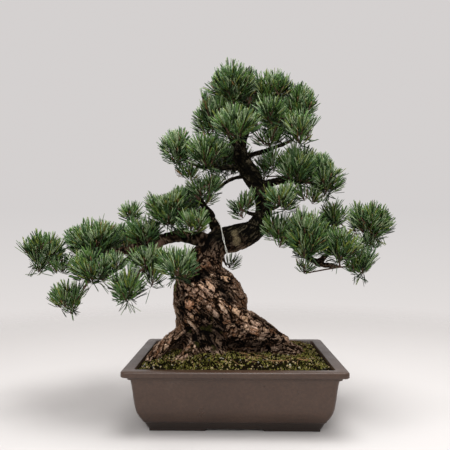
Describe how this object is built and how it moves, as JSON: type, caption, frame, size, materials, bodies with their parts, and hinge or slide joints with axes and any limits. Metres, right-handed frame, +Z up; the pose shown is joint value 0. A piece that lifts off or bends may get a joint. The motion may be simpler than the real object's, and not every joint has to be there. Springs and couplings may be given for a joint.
{
  "type": "japanese white pine bonsai",
  "caption": "Potted white pine bonsai with a flared, fluted trunk in an S curve, tapering boughs and open cushions of short needles, in a rectangular unglazed pot.",
  "frame": {"origin": "centre of the pot's flat underside, between its four feet, which reach 4 mm lower", "axes": "+X to the right of the tree's front, +Y to its back, +Z up"},
  "size_m": [0.7061, 0.2936, 0.6652],
  "materials": {
    "pot": "unglazed dark brown stoneware, satin matte, paler along the rim",
    "soil": "damp soil of small grains with moss, brown litter and fallen needles",
    "bark": "rough plated bark, pinkish tan over deep dark fissures, smoother and darker above",
    "bough_bark": "smooth dark brown young bark",
    "needles": "blue-green needles with a soft waxy sheen, yellower at the base of each tuft"
  },
  "bodies": {
    "root": {"bough_arm": "bough_bark", "bough_arm_back": "bough_bark", "bough_back_right": "bough_bark", "bough_crown_back": "bough_bark", "bough_crown_front": "bough_bark", "bough_crown_left": "bough_bark", "bough_crown_right": "bough_bark", "bough_inner": "bough_bark", "bough_left": "bough_bark", "bough_left_back": "bough_bark", "bough_left_fan": "bough_bark", "bough_left_front": "bough_bark", "bough_left_inner": "bough_bark", "bough_left_low": "bough_bark", "bough_low_right": "bough_bark", "bough_lower_arm": "bough_bark", "bough_near_right": "bough_bark", "bough_neck": "bough_bark", "bough_right_centre": "bough_bark", "bough_right_rear": "bough_bark", "bough_right_upper": "bough_bark", "bough_shelf": "bough_bark", "bough_shelf_back": "bough_bark", "bough_tip_right": "bough_bark", "bough_upper_left": "bough_bark", "needles_apex": "needles", "needles_arm": "needles", "needles_arm_back": "needles", "needles_back_right": "needles", "needles_crown_back": "needles", "needles_crown_front": "needles", "needles_crown_left": "needles", "needles_crown_right": "needles", "needles_inner": "needles", "needles_left": "needles", "needles_left_back": "needles", "needles_left_fan": "needles", "needles_left_front": "needles", "needles_left_inner": "needles", "needles_left_low": "needles", "needles_low_right": "needles", "needles_lower_arm": "needles", "needles_near_right": "needles", "needles_neck": "needles", "needles_right_centre": "needles", "needles_right_rear": "needles", "needles_right_upper": "needles", "needles_shelf": "needles", "needles_shelf_back": "needles", "needles_tip_right": "needles", "needles_upper_left": "needles", "pot": "pot", "soil": "soil", "trunk": "bark"}
  },
  "joints": []
}
